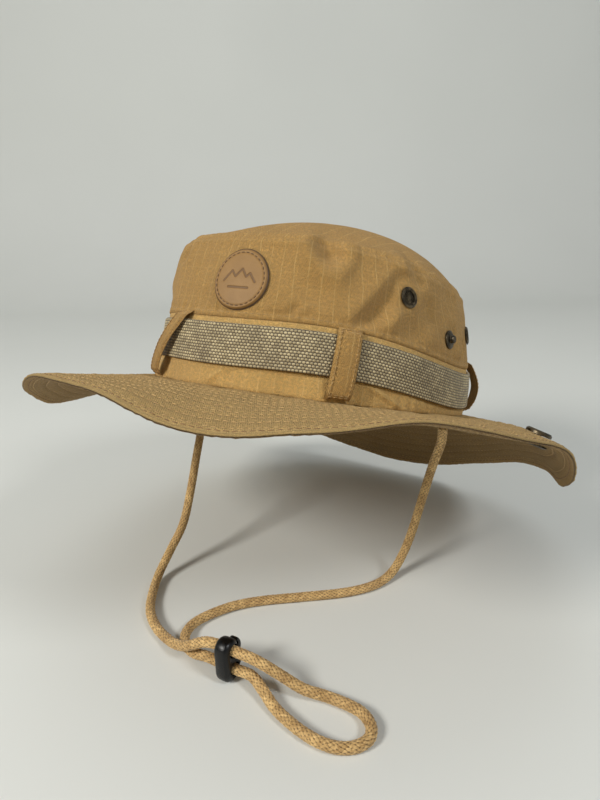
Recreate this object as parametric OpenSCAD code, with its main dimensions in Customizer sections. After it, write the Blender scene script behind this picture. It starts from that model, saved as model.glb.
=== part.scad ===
/* [Crown] */
// Width of the crown at the brim seam, side to side
crown_w = 168; // [156:1:180]
// Length of the crown at the brim seam, front to back
crown_l = 200; // [188:1:212]
// Height of the crown up to the tip seam
crown_h = 69; // [66:1:76]
// Size of the crown's top edge compared with its bottom edge
crown_taper = 0.87; // [0.84:0.01:0.94]
// How far the crown's top edge leans forward
crown_lean = 5; // [0:1:6]
// Rise of the domed tip panel above the tip seam
dome_h = 24; // [14:1:28]
// How far the dome's top lies behind the middle of the tip seam
dome_back = 8; // [0:1:20]
// How much fuller the dome is towards the back left than towards the front right
dome_skew = 0.35; // [0:0.05:0.4]
// How far the crown's seams and the webbing sag on the hat's two sides
side_dip = 6; // [3:0.5:7]
// Height of the lower crown band
band_h = 31; // [30:0.5:32]
// Thickness of one panel of crown cloth
cloth_t = 1.2; // [0.8:0.1:1.6]
// Angle that the hat is tipped back on the head
hat_tilt = 18; // [14:1:20]

/* [Brim] */
// Length of the brim's cloth from the crown seam to its edge
brim_len = 65; // [60:1:72]
// Thickness of each of the brim's three layers
layer_t = 0.8; // [0.6:0.1:1]
// Distance of each side flap's fold from the hat's middle
fold_x = 92; // [91:1:96]
// Height of the fold's axis above the brim seam
fold_z = 1.8; // [1.6:0.1:2.4]

/* [Band and badge] */
// Width of the webbing hat band
webbing_w = 18.5; // [17:0.5:19.5]
// Thickness of the webbing
webbing_t = 1.2; // [0.8:0.1:1.4]
// Height of the webbing's lower edge above the brim seam
webbing_z = 10; // [9:0.5:10.5]
// Width of each keeper
keeper_w = 12; // [10:1:16]
// Radius of the badge
badge_r = 14; // [12:0.5:15]
// Thickness of the badge
badge_t = 1.6; // [1:0.1:2]
// Height of the badge's centre above the brim seam
badge_z = 48.5; // [47:0.5:50]
// Angle of the badge's centre from the front towards the wearer's left
badge_angle = 5.5; // [0:0.5:8]

/* [Vents and snaps] */
// Radius of a vent eyelet's flange
vent_r = 5; // [5:0.5:6]
// Radius of the hole through a vent eyelet
vent_hole_r = 3.2; // [2.6:0.1:3.4]
// Height of the front pair of vents above the brim seam
vent_z = 52; // [50:1:54]
// How much lower the rear pair of vents sits
vent_drop = 8; // [6:1:9]
// Radius of the crown studs' flange
stud_r = 4.6; // [4.2:0.1:5.4]
// Height of the crown studs above the brim seam
stud_z = 37.5; // [36:0.5:42]
// Distance of the studs in front of the crown's middle line at their height
snap_y = 17; // [12:1:20]
// Distance of the brim sockets from the hat's middle
socket_x = 128; // [125:1:130]
// Radius of a brim socket and its cap
socket_r = 6; // [5:0.5:7]

/* [Chin cord] */
// Diameter of the chin cord
cord_d = 5.2; // [4.6:0.1:5.6]
// Height of the surface that the cord lies on, below the hat's origin
floor_drop = 102; // [102:1:102]
// Distance between the cord lock's two holes
lock_pitch = 10; // [9.5:0.1:10.5]
// Radius of the cord lock's holes
lock_hole_r = 3.1; // [3:0.05:3.3]
// Thickness of the cord lock along the cord
lock_t = 8; // [7:0.5:9]
// Height of the cord lock
lock_h = 22; // [21:0.5:23]
// Travel of the cord lock's plunger
press_travel = 2.2; // [1.6:0.1:2.2]

/* [Hidden] */
$fn = 48;

cloth = "#b8945c";
under_cloth = "#9c7c4a";
webbing_grey = "#8f8673";
leather = "#a27e52";
bronze = "#4d4636";
braid = "#c39a57";
black_plastic = "#17171a";

lay_gap = 0.1;
seam_step = 15;
// Height of the brim's edge at every seam_step degrees from the front round by the wearer's left
edge_rise = [
    -4, -12, -7.5, 1, -1, -5, -20, -28, -25, -26, -34, -42,
    -44, -40, -33, -27, -20, -14, -12, -19.5, -23, -15.5, -8, -3
];
flap_from = 45;
flap_to = 135;
flap_gap = 0.5;
flap_end_gap = 0.6;
brim_rows = 6;
// Angles of the brim's cross-sections, with a pair at each end of each flap
brim_angles = concat(
    [for (a = [-40 : 5 : 40]) a], [44.6, 45],
    [for (a = [50 : 5 : 130]) a], [135, 135.4],
    [for (a = [140 : 5 : 220]) a], [224.6, 225],
    [for (a = [230 : 5 : 310]) a], [315, 315.4]
);
crown_angles = [for (a = [0 : 5 : 355]) a];
vent_angles = [60, 102];
// Share of the seams' sag that is left at the tip seam
tip_share = 0.65;
// Angle of the dome's fuller side, from the front towards the wearer's left
dome_side = 120;
origin_z = -floor_drop;
cord_r = cord_d / 2;
lock_x = 19;
lock_y = -118;
lock_z = origin_z + lock_h / 2;

// ---- surfaces ----

function wrapped(list, i) = list[((i % len(list)) + len(list)) % len(list)];

// Smooth curve through evenly spaced values, closed on itself
function edge_height(a) =
    let (s = a / seam_step, i = floor(s), u = s - i)
    let (p = wrapped(edge_rise, i - 1), q = wrapped(edge_rise, i))
    let (r = wrapped(edge_rise, i + 1), t = wrapped(edge_rise, i + 2))
    q + u * ((r - p) / 2 + u * ((p - 2.5 * q + 2 * r - t / 2) + u * (t - p + 3 * (q - r)) / 2));

// How much of the brim's fall is a sharp droop at its edge: none but on the wearer's left
function droop(a) = sin(a) > 0 ? pow(sin(a), 4) : 0;

// How far the brim's edge is drawn in beyond what its slope takes up
function drawn_in(a) =
    sin(a) > 0 ? 0.1 * pow(sin(a), 4) * abs(edge_height(a)) : 4 * pow(max(0, cos(a + 30)), 30);

// Level distance from the crown seam to the brim's edge
function brim_plan(a) = sqrt(pow(brim_len, 2) - pow(edge_height(a), 2)) - drawn_in(a);

// Point on the brim: t is 0 at the crown seam and 1 at the edge, and drop is measured down from the top
function brim_point(a, t, drop = 0) =
    let (reach = brim_plan(a) * t, k = max(t, 0))
    let (fall = (1 - droop(a)) * (0.35 * k + 0.65 * k * k) + droop(a) * pow(k, 5))
    [(crown_w / 2 + reach) * sin(a), -(crown_l / 2 + reach) * cos(a), edge_height(a) * fall - drop];

function crown_scale(z) = 1 - (1 - crown_taper) * pow(max(z, 0) / crown_h, 2.6);

// Point on the crown's outside, pushed out by off
function crown_point(a, z, off = 0) =
    let (k = crown_scale(z), lean = crown_lean * pow(max(z, 0) / crown_h, 2))
    [(crown_w / 2 * k + off) * sin(a), -(crown_l / 2 * k + off) * cos(a) - lean, z];

// How much higher or lower the webbing and the band's seam ride round the hat
function wave(a) = 2 * pow(sin(2 * a), 2) - side_dip * pow(sin(a), 4);

// How far along its width the brim is when it meets a flap's fold, moved outwards by shift
function fold_t(a, shift) = ((fold_x + shift) / abs(sin(a)) - crown_w / 2) / brim_plan(a);

function side_angle(a) = abs(((a + 180) % 360 + 360) % 360 - 180);
function on_flap(a) = side_angle(a) >= flap_from && side_angle(a) <= flap_to;
function brim_reach(a) = on_flap(a) ? fold_t(a, -flap_gap) : 1;

function unit(v) = v / norm(v);

// ---- solids made from grids of points ----

// Triangles between two rows-by-columns grids, the upper one first; closed joins the last row to the first
module slab(upper, lower, closed = false) {
    rows = len(upper);
    cols = len(upper[0]);
    last = closed ? rows : rows - 1;
    base = rows * cols;
    function at(i, j) = (i % rows) * cols + j;
    top_faces = [
        for (i = [0 : last - 1], j = [0 : cols - 2])
            each [[at(i, j), at(i + 1, j), at(i + 1, j + 1)], [at(i, j), at(i + 1, j + 1), at(i, j + 1)]]
    ];
    low_faces = [for (f = top_faces) [base + f[2], base + f[1], base + f[0]]];
    near_side = [
        for (i = [0 : last - 1])
            let (a = at(i, 0), b = at(i + 1, 0))
            each [[b, a, base + a], [b, base + a, base + b]]
    ];
    far_side = [
        for (i = [0 : last - 1])
            let (a = at(i, cols - 1), b = at(i + 1, cols - 1))
            each [[a, b, base + b], [a, base + b, base + a]]
    ];
    first_end = [
        for (j = [0 : cols - 2])
            let (a = at(0, j), b = at(0, j + 1))
            each [[a, b, base + b], [a, base + b, base + a]]
    ];
    last_end = [
        for (j = [0 : cols - 2])
            let (a = at(rows - 1, j), b = at(rows - 1, j + 1))
            each [[b, a, base + a], [b, base + a, base + b]]
    ];
    ends = closed ? [] : concat(first_end, last_end);
    polyhedron(
        points = concat([for (row = upper) each row], [for (row = lower) each row]),
        faces = concat(top_faces, low_faces, near_side, far_side, ends)
    );
}

// A round sheet made from rings of points round two poles
module round_sheet(upper, lower, upper_pole, lower_pole) {
    rings = len(upper);
    count = len(upper[0]);
    base = rings * count;
    pole = 2 * base;
    function at(i, j) = i * count + j % count;
    walls = [
        for (i = [0 : rings - 2], j = [0 : count - 1])
            each [[at(i, j), at(i + 1, j), at(i + 1, j + 1)], [at(i, j), at(i + 1, j + 1), at(i, j + 1)]]
    ];
    fan = [for (j = [0 : count - 1]) [at(rings - 1, j), pole, at(rings - 1, j + 1)]];
    low_fan = [for (j = [0 : count - 1]) [base + at(rings - 1, j + 1), pole + 1, base + at(rings - 1, j)]];
    rim = [
        for (j = [0 : count - 1])
            let (a = at(0, j), b = at(0, j + 1))
            each [[a, b, base + b], [a, base + b, base + a]]
    ];
    polyhedron(
        points = concat(
            [for (ring = upper) each ring], [for (ring = lower) each ring], [upper_pole, lower_pole]
        ),
        faces = concat(walls, [for (f = walls) [base + f[2], base + f[1], base + f[0]]], fan, low_fan, rim)
    );
}

module worn() {
    rotate([-hat_tilt, 0, 0]) children();
}

// ---- crown ----

// A ring of crown cloth between two heights, from out to in off the crown's outside.
// wave0 and wave1 say how much of the wave its lower and upper edges follow.
module crown_ring(z0, z1, out, in, rows, wave0 = 0, wave1 = 0) {
    function line(a, off) = [
        for (i = [0 : rows])
            let (u = i / rows)
            crown_point(a, z0 + (z1 - z0) * u + wave(a) * (wave0 + (wave1 - wave0) * u), off)
    ];
    slab([for (a = crown_angles) line(a, out)], [for (a = crown_angles) line(a, in)], closed = true);
}

tip_rings = [1, 0.982, 0.93, 0.85, 0.72, 0.55, 0.35, 0.16];
function dome(s) = s > 0.98 ? 0 : dome_h * (1 - pow(s, 2.3));

// Point on the tip panel's underside: s is 1 at its seam and 0 at its middle
function tip_point(a, s) =
    let (rim = crown_point(a, crown_h + tip_share * wave(a)))
    let (skew = 1 + dome_skew * s * cos(a - dome_side), shift = (dome_back - crown_lean) * (1 - s))
    [rim[0] * s, rim[1] * s + shift, crown_h + (rim[2] - crown_h) * s + dome(s) * skew];

module crown_tip() {
    function ring(s, lift) = [for (a = crown_angles) tip_point(a, s) + [0, 0, lift]];
    color(cloth) worn() round_sheet(
        [for (s = tip_rings) ring(s, cloth_t)],
        [for (s = tip_rings) ring(s, 0)],
        tip_point(0, 0) + [0, 0, cloth_t],
        tip_point(0, 0)
    );
}

// Stands children off the crown's outside at an angle and a height, with +Z outwards
module on_crown(a, z, off = 0) {
    p = crown_point(a, z);
    along = crown_point(a + 1, z) - crown_point(a - 1, z);
    up = crown_point(a, z + 1) - crown_point(a, z - 1);
    n = unit(cross(along, up));
    translate(p + off * n) rotate([0, acos(n[2]), atan2(n[1], n[0])]) children();
}

module at_vents(off) {
    for (side = [-1, 1], i = [0, 1]) on_crown(side * vent_angles[i], vent_z - i * vent_drop, off) children();
}

stud_angle = 90 - asin(snap_y / (crown_l / 2 * crown_scale(stud_z)));
stud_y = crown_point(stud_angle, stud_z)[1];

module at_studs(off) {
    for (side = [-1, 1]) on_crown(side * stud_angle, stud_z, off) children();
}

barrel_r = vent_hole_r + 0.5;
post_r = 1.6;
hole_clear = 0.5;
fit_clear = 0.3;

module crown_side() {
    color(cloth) worn() difference() {
        crown_ring(band_h, crown_h, 0, -cloth_t, 5, 1, tip_share);
        at_vents(-5) cylinder(r = barrel_r + hole_clear, h = 10);
        at_studs(-5) cylinder(r = post_r + hole_clear, h = 10);
    }
}

module crown_lower_band() {
    color(cloth) worn() crown_ring(0, band_h, 0, -cloth_t, 4, 0, 1);
}

module sweatband() {
    color(cloth) worn() crown_ring(0.5, band_h - 2, -cloth_t - lay_gap, -2 * cloth_t, 4);
}

// ---- brim ----

module brim_layer(layer) {
    seam_t = -cloth_t / brim_len;
    function rows(a, drop) = [
        for (j = [0 : brim_rows]) brim_point(a, seam_t + (brim_reach(a) - seam_t) * j / brim_rows, drop)
    ];
    worn() slab(
        [for (a = brim_angles) rows(a, layer * layer_t)],
        [for (a = brim_angles) rows(a, (layer + 1) * layer_t)],
        closed = true
    );
}

flap_step = (flap_to - flap_from - 2 * flap_end_gap) / 20;

// One layer of a side flap; side is 1 on the wearer's left and -1 on the right
module flap_layer(side, layer) {
    angles = [for (i = [0 : 20]) side * (flap_from + flap_end_gap) + side * i * flap_step];
    ordered = side > 0 ? angles : [for (i = [20 : -1 : 0]) angles[i]];
    function rows(a, drop) =
        let (from = fold_t(a, flap_gap))
        [for (j = [0 : brim_rows]) brim_point(a, from + (1 - from) * j / brim_rows, drop)];
    worn() difference() {
        slab(
            [for (a = ordered) rows(a, layer * layer_t)],
            [for (a = ordered) rows(a, (layer + 1) * layer_t)]
        );
        at_socket(side) translate([0, 0, -6]) cylinder(r = post_r + hole_clear, h = 12);
    }
}

module brim_top_cloth() { color(cloth) brim_layer(0); }
module brim_interlining() { color("white") brim_layer(1); }
module brim_under_cloth() { color(under_cloth) brim_layer(2); }
module left_flap_top_cloth() { color(cloth) flap_layer(1, 0); }
module left_flap_interlining() { color("white") flap_layer(1, 1); }
module left_flap_under_cloth() { color(under_cloth) flap_layer(1, 2); }
module right_flap_top_cloth() { color(cloth) flap_layer(-1, 0); }
module right_flap_interlining() { color("white") flap_layer(-1, 1); }
module right_flap_under_cloth() { color(under_cloth) flap_layer(-1, 2); }

// ---- hat band, keepers and badge ----

module hat_band() {
    function rows(a, off) = [
        for (i = [0 : 3])
            crown_point(a, webbing_z + wave(a) + webbing_w * i / 3, off)
    ];
    color(webbing_grey) worn() slab(
        [for (a = crown_angles) rows(a, webbing_t + lay_gap)],
        [for (a = crown_angles) rows(a, lay_gap)],
        closed = true
    );
}

keeper_t = 1.3;
keeper_h = 33;
keeper_rows = [1.5, 2.5, 4, 9, 16, 21, 26, 30.6, 31.8, keeper_h];
keeper_bow = [0.2, 1.6, 2.8, 3.4, 3.4, 2.8, 2.1, 1.8, 0.5, 0];

// A keeper at angle a; its top end is lean degrees further round than its bottom end
module keeper(a, lean) {
    half = keeper_w / 2 / (norm(crown_point(a, 16)) * PI / 180);
    across = [-1, -0.5, 0, 0.5, 1] * half;
    function grid(off) = [
        for (d = across) [for (i = [0 : len(keeper_rows) - 1])
            let (z = keeper_rows[i])
            crown_point(a + d + lean * (z / keeper_h - 0.5), z, 0.2 + keeper_bow[i] + off)]
    ];
    color(cloth) worn() slab(grid(keeper_t), grid(0));
}

module keeper_front_left() { keeper(39.5, 2); }
module keeper_front_right() { keeper(-21.5, 15); }
module keeper_rear_left() { keeper(124, 0); }
module keeper_rear_right() { keeper(-124, 0); }

module badge() {
    arc = crown_w / 2 * crown_scale(badge_z) * PI / 180;
    function ring(r, off) = [
        for (b = [0 : 10 : 350]) crown_point(badge_angle + r * sin(b) / arc, badge_z - r * cos(b), off)
    ];
    radii = [1, 0.95, 0.7, 0.4, 0.15] * badge_r;
    lifts = [0.5, 1, 1, 1, 1] * badge_t;
    color(leather) worn() round_sheet(
        [for (i = [0 : 4]) ring(radii[i], 0.3 + lifts[i])],
        [for (r = radii) ring(r, 0.3)],
        crown_point(badge_angle, badge_z, 0.3 + badge_t),
        crown_point(badge_angle, badge_z, 0.3)
    );
}

// ---- vents and snaps ----

vent_lift = 0.35;
wall_back = cloth_t + 0.35;

module vent_eyelets() {
    color(bronze) worn() at_vents(0) rotate_extrude() polygon([
        [vent_hole_r, -wall_back - 0.6], [barrel_r, -wall_back - 0.6], [barrel_r, vent_lift],
        [vent_r, vent_lift], [vent_r, vent_lift + 0.4], [vent_r - 0.8, vent_lift + 1],
        [vent_hole_r + 0.5, vent_lift + 1], [vent_hole_r, vent_lift + 0.5]
    ]);
}

module vent_washers() {
    color(bronze) worn() at_vents(-wall_back - 0.6) difference() {
        cylinder(r = vent_r - 0.4, h = 0.6);
        translate([0, 0, -1]) cylinder(r = barrel_r + fit_clear, h = 3);
    }
}

module vent_screens() {
    color(bronze) worn() at_vents(-0.6) cylinder(r = vent_hole_r - 0.2, h = 0.4);
}

module crown_snap_studs() {
    color(bronze) worn() at_studs(0) rotate_extrude() polygon([
        [0, -wall_back - 0.5], [post_r, -wall_back - 0.5], [post_r, 0.3], [stud_r, 0.3],
        [stud_r, 0.8], [stud_r - 1, 1.3], [2, 1.5], [1.7, 2.2], [2.1, 2.8], [1.6, 3.3], [0, 3.3]
    ]);
}

module crown_snap_rivets() {
    color(bronze) worn() at_studs(-wall_back - 0.9) difference() {
        cylinder(r = stud_r - 0.4, h = 0.9);
        translate([0, 0, 0.35]) cylinder(r = post_r + fit_clear, h = 3);
    }
}

// Stands children on the brim's top at a socket, with +Z upwards
module at_socket(side) {
    angle = 90 + asin(stud_y / (socket_x + 16));
    reach = (socket_x / sin(angle) - crown_w / 2) / brim_plan(side * angle);
    p = brim_point(side * angle, reach);
    along = brim_point(side * (angle + 2), reach) - brim_point(side * (angle - 2), reach);
    outward = brim_point(side * angle, reach + 0.03) - brim_point(side * angle, reach - 0.03);
    n = side * unit(cross(outward, along));
    translate(p) rotate([0, acos(n[2]), atan2(n[1], n[0])]) children();
}

socket_lift = 0.5;
brim_back = 3 * layer_t + 1.3;

module snap_socket(side) {
    color(bronze) worn() at_socket(side) rotate_extrude() polygon([
        [0, -brim_back - 0.4], [post_r, -brim_back - 0.4], [post_r, socket_lift],
        [socket_r, socket_lift], [socket_r, socket_lift + 1.2], [socket_r - 0.8, socket_lift + 2],
        [2.6, socket_lift + 2], [2.6, socket_lift + 0.6], [0, socket_lift + 0.6]
    ]);
}

module snap_cap(side) {
    color(bronze) worn() at_socket(side) translate([0, 0, -brim_back - 1.3]) rotate_extrude() polygon([
        [0, 0], [socket_r - 1.5, 0], [socket_r, 0.6], [socket_r, 1.3], [post_r + fit_clear, 1.3],
        [post_r + fit_clear, 0.85], [0, 0.85]
    ]);
}

module left_snap_socket() { snap_socket(1); }
module left_snap_cap() { snap_cap(1); }
module right_snap_socket() { snap_socket(-1); }
module right_snap_cap() { snap_cap(-1); }

// ---- chin cord and its lock ----

anchor_size = [6, 12, 7];
anchor_at = [75.9, -8, -6.55];

module cord_anchor(side) {
    color(cloth) worn() mirror([side > 0 ? 0 : 1, 0, 0]) translate(anchor_at) cube(anchor_size);
}

module cord_anchor_left() { cord_anchor(1); }
module cord_anchor_right() { cord_anchor(-1); }

lie = origin_z + cord_r;
low = lock_z - lock_pitch / 2;
high = lock_z + lock_pitch / 2;
// The cord's route from the left anchor, along the floor, through the lock, round its loop and back
route = [
    [79, -3, -6], [77, 2, -17], [71, 7, -35], [66, 8, -55], [62, 5, -75], [59, 0, -88],
    [56, -8, lie + 2.5], [53, -18, lie], [48, -28, lie], [38, -39, lie], [20, -53, lie],
    [3, -66, lie], [-8, -77, lie], [-15, -89, lie], [-18, -99, lie], [-16.5, -107.5, lie],
    [-11, -113.5, lie], [-3, -117, lie + 1], [6, lock_y, low], [14, lock_y, low], [23, lock_y, low],
    [32, lock_y, low], [40, -121, low - 2], [48, -125, lie], [56, -128, lie], [65, -130.3, lie],
    [74, -131.2, lie], [82, -129.8, lie], [88, -125.7, lie], [90.7, -119.4, lie], [88, -113, lie],
    [80.5, -109, lie], [67, -108.8, lie], [56, -112, lie + 2], [47, -114, lie + 6],
    [39, -117, high - 2], [32, lock_y, high], [23, lock_y, high], [14, lock_y, high],
    [6, -119, high - 1], [-2, -120, lie + 8], [-10, -119, lie + 4], [-20, -116, lie + 1],
    [-33, -111, lie], [-45, -103, lie], [-55, -91, lie], [-63, -77, lie + 2], [-64, -65, lie + 11],
    [-63, -53, -76], [-65, -42, -60], [-70, -28, -42], [-76, -12, -23], [-79, -3, -6]
];
ring_sides = 10;

function curve_point(i, u) =
    let (a = route[max(i - 1, 0)], b = route[i])
    let (c = route[i + 1], d = route[min(i + 2, len(route) - 1)])
    b + u * ((c - a) / 2 + u * ((a - 2.5 * b + 2 * c - d / 2) + u * (d - a + 3 * (b - c)) / 2));

// Path points: two on a long stretch, one on a short one
path = concat(
    [for (i = [0 : len(route) - 2])
        let (parts = norm(route[i + 1] - route[i]) > 16 ? 2 : 1)
        for (k = [0 : parts - 1]) curve_point(i, k / parts)],
    [route[len(route) - 1]]
);

function heading(i) = unit(path[min(i + 1, len(path) - 1)] - path[max(i - 1, 0)]);

// Each ring's first radius is the one before it, squared up to the new heading
function turned(previous, h) = unit(previous - (previous * h) * h);
function radii(i = 0, previous = [1, 0, 0]) =
    i == len(path) ? [] :
    let (r = turned(previous, heading(i)))
    concat([r], radii(i + 1, r));

module chin_cord() {
    spokes = radii();
    count = len(path);
    rings = [
        for (i = [0 : count - 1])
            let (r = spokes[i], s = cross(heading(i), r))
            for (k = [0 : ring_sides - 1])
                path[i] + cord_r * (cos(360 * k / ring_sides) * r + sin(360 * k / ring_sides) * s)
    ];
    function at(i, k) = i * ring_sides + k % ring_sides;
    walls = [
        for (i = [0 : count - 2], k = [0 : ring_sides - 1])
            each [[at(i, k), at(i + 1, k), at(i + 1, k + 1)], [at(i, k), at(i + 1, k + 1), at(i, k + 1)]]
    ];
    first_cap = [[for (k = [0 : ring_sides - 1]) at(0, k)]];
    last_cap = [[for (k = [ring_sides - 1 : -1 : 0]) at(count - 1, k)]];
    color(braid) polyhedron(points = rings, faces = concat(walls, first_cap, last_cap));
}

// Puts children at the lock's centre, with +Z along the cord, +X up and +Y towards the button
module in_lock() {
    translate([lock_x, lock_y, lock_z]) rotate([0, 90, 0]) mirror([1, 0, 0]) children();
}

lock_front = -6.5;
lock_back = 4;
pocket_front = -5.8;
plunger_front = -3.5;
plunger_back = 7.4;
pocket_t = 4.6;
pocket_h = 16.6;
slide_fit = 0.15;
spring_r = 1.5;
spring_hole_r = 1.75;
spring_hole_back = 2.6;

// The lock's side outline: a flat oval, long way up
module lock_outline() {
    end_r = (lock_back - lock_front) / 2;
    mid = (lock_back + lock_front) / 2;
    for (end = [-1, 1]) translate([end * (lock_h / 2 - end_r), mid]) circle(r = end_r);
    translate([-(lock_h / 2 - end_r), lock_front]) square([lock_h - 2 * end_r, 2 * end_r]);
}

module cord_lock_body() {
    color(black_plastic) in_lock() difference() {
        translate([0, 0, -lock_t / 2]) linear_extrude(lock_t) lock_outline();
        for (end = [-1, 1])
            translate([end * lock_pitch / 2, 0, -lock_t]) cylinder(r = lock_hole_r, h = 2 * lock_t);
        translate([-pocket_h / 2, pocket_front, -pocket_t / 2])
            cube([pocket_h, lock_back - pocket_front + 5, pocket_t]);
    }
}

module cord_lock_plunger() {
    plate_h = pocket_h - 2 * slide_fit;
    plate_t = pocket_t - 2 * slide_fit;
    neck_back = plunger_back - 3;
    lobe_r = plate_h / 4;
    color(black_plastic) in_lock() difference() {
        translate([0, 0, -plate_t / 2]) linear_extrude(plate_t) {
            translate([-plate_h / 2, plunger_front]) square([plate_h, neck_back - plunger_front]);
            for (end = [-1, 1]) translate([end * lobe_r, neck_back - 1.1]) circle(r = lobe_r);
        }
        for (end = [-1, 1]) translate([end * lock_pitch / 2, 0, -lock_t]) {
            cylinder(r = lock_hole_r, h = 2 * lock_t);
            translate([0, press_travel, 0]) cylinder(r = lock_hole_r, h = 2 * lock_t);
            translate([-lock_hole_r, 0, 0]) cube([2 * lock_hole_r, press_travel, 2 * lock_t]);
        }
        translate([0, plunger_front - 1, 0]) rotate([-90, 0, 0])
            cylinder(r = spring_hole_r, h = spring_hole_back - plunger_front + 1);
    }
}

module cord_lock_spring() {
    color("silver") in_lock() translate([0, pocket_front + 0.05, 0]) rotate([-90, 0, 0])
        difference() {
            cylinder(r = spring_r, h = spring_hole_back - pocket_front - 0.1);
            translate([0, 0, -1]) cylinder(r = spring_r - 0.4, h = 20);
        }
}

crown_tip();
crown_side();
crown_lower_band();
sweatband();
brim_top_cloth();
brim_interlining();
brim_under_cloth();
left_flap_top_cloth();
left_flap_interlining();
left_flap_under_cloth();
right_flap_top_cloth();
right_flap_interlining();
right_flap_under_cloth();
hat_band();
keeper_front_left();
keeper_front_right();
keeper_rear_left();
keeper_rear_right();
badge();
vent_eyelets();
vent_washers();
vent_screens();
crown_snap_studs();
crown_snap_rivets();
left_snap_socket();
left_snap_cap();
right_snap_socket();
right_snap_cap();
cord_anchor_left();
cord_anchor_right();
chin_cord();
cord_lock_body();
cord_lock_plunger();
cord_lock_spring();
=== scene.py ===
import math

import bmesh
import bpy
import numpy as np
from mathutils import Matrix, Quaternion, Vector


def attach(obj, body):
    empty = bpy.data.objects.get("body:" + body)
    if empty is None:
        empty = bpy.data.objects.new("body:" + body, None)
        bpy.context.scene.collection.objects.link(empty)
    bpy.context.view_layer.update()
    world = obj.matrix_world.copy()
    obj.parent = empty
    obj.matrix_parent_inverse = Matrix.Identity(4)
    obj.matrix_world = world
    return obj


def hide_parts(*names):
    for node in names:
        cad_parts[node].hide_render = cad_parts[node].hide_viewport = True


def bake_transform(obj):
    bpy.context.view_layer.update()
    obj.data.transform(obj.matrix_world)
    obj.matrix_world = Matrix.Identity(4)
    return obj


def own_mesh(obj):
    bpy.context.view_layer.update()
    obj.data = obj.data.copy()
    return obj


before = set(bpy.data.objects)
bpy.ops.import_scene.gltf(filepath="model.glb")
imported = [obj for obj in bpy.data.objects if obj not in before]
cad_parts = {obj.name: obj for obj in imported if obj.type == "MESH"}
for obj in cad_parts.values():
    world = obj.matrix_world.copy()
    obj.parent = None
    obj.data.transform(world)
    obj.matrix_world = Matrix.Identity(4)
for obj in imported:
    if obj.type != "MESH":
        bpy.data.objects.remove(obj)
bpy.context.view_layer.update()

# ---- sizes in millimetres, in the hat's own frame: front -Y, wearer's left +X, brim seam at Z = 0 ----

MM = 0.001
TILT = math.radians(18)
CROWN_W, CROWN_L, CROWN_H = 168.0, 200.0, 69.0
CROWN_TAPER, CROWN_LEAN = 0.87, 5.0
DOME_H, DOME_BACK, DOME_SKEW, DOME_SIDE = 24.0, 8.0, 0.35, 120
# The tip's seam to its middle, and its row of stitches from the seam
TIP_REACH, TIP_ROW = 85.0, 5.2
BAND_H, SIDE_H, SIDE_DIP, TIP_SHARE = 31.0, 38.0, 6.0, 0.65
CLOTH_T = 1.2
BRIM_LEN, BRIM_T = 65.0, 2.4
# Height of the brim's edge every 15 degrees, from the front round by the wearer's left
EDGE_RISE = np.array([
    -4, -12, -7.5, 1, -1, -5, -20, -28, -25, -26, -34, -42,
    -44, -40, -33, -27, -20, -14, -12, -19.5, -23, -15.5, -8, -3,
])
WEBBING_W, WEBBING_T, WEBBING_Z = 18.5, 1.2, 10.0
PICK_W, PICK_H = 1.75, 1.3
BADGE_R, BADGE_T, BADGE_Z, BADGE_ANGLE = 14.0, 1.6, 48.5, 5.5
# Each side's vents, as angle and height
VENTS, VENT_HOLE_R, VENT_CUT_R = ((60, 52.0), (102, 44.0)), 3.2, 4.2
STUD_Z, STUD_ANGLE = 37.5, 80.0
CORD_R, FLOOR = 2.6, -102.0
STRANDS, STRAND_PITCH, BRAID_DEPTH = 8, 2.7, 0.36
TAB_X, TAB_Z = 78.9, -3.05
LOCK_AT = np.array([19.0, -118.0, -91.0])
LOCK_PITCH, LOCK_HOLE_R = 10.0, 3.1
CAMERA_AT = Vector((0.16635, -0.29468, 0.1055))
CAMERA_LOOK = Vector((-0.4885, 0.8173, -0.3055))
CAMERA_ROLL = math.radians(-1.37)

# Cosines added up in each ripple
WAVES = 9

# ---- small helpers ----


def worn(points):
    """Points of the hat's own frame, in millimetres, as row-frame points in metres."""
    p = np.asarray(points, float) * MM
    c, s = math.cos(TILT), math.sin(TILT)
    return np.stack([p[..., 0], c * p[..., 1] + s * p[..., 2], c * p[..., 2] - s * p[..., 1]], -1)


def unit(v):
    return v / np.maximum(np.linalg.norm(v, axis=-1, keepdims=True), 1e-12)


def smooth(x, low, high):
    t = np.clip((x - low) / (high - low), 0, 1)
    return t * t * (3 - 2 * t)


def lump(x, width):
    return np.exp(-((x / width) ** 2))


def ripple(a, z, seed, cycles, tilt):
    """A smooth seeded field over angle a and height z, about -1 to 1; cycles are counted round the hat."""
    rng = np.random.default_rng(seed)
    total = 0
    for _ in range(WAVES):
        n = rng.integers(cycles[0], cycles[1] + 1)
        phase, lean = rng.uniform(0, 2 * np.pi), rng.uniform(-tilt, tilt)
        total = total + np.cos(n * np.radians(a) + lean * z + phase)
    return total / WAVES**0.5 / 1.4


def spline(p, q, r, t, u):
    """A smooth curve from q, where u is 0, to r, where u is 1, with p before them and t after."""
    return q + u * ((r - p) / 2 + u * ((p - 2.5 * q + 2 * r - t / 2) + u * (t - p + 3 * (q - r)) / 2))


def turn_from(a, start):
    """Degrees round the hat from start to a, between -180 and 180."""
    return (a - start + 180) % 360 - 180


def gap_to_line(x, y, dx, dy):
    """Distance from (x, y) to the line from (0, 0) to (dx, dy)."""
    along = np.clip((x * dx + y * dy) / (dx * dx + dy * dy), 0, 1)
    return np.hypot(x - along * dx, y - along * dy)


def ring_turns(count):
    """Evenly spaced angles round a circle, in radians."""
    return np.arange(count) * 2 * np.pi / count


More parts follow.
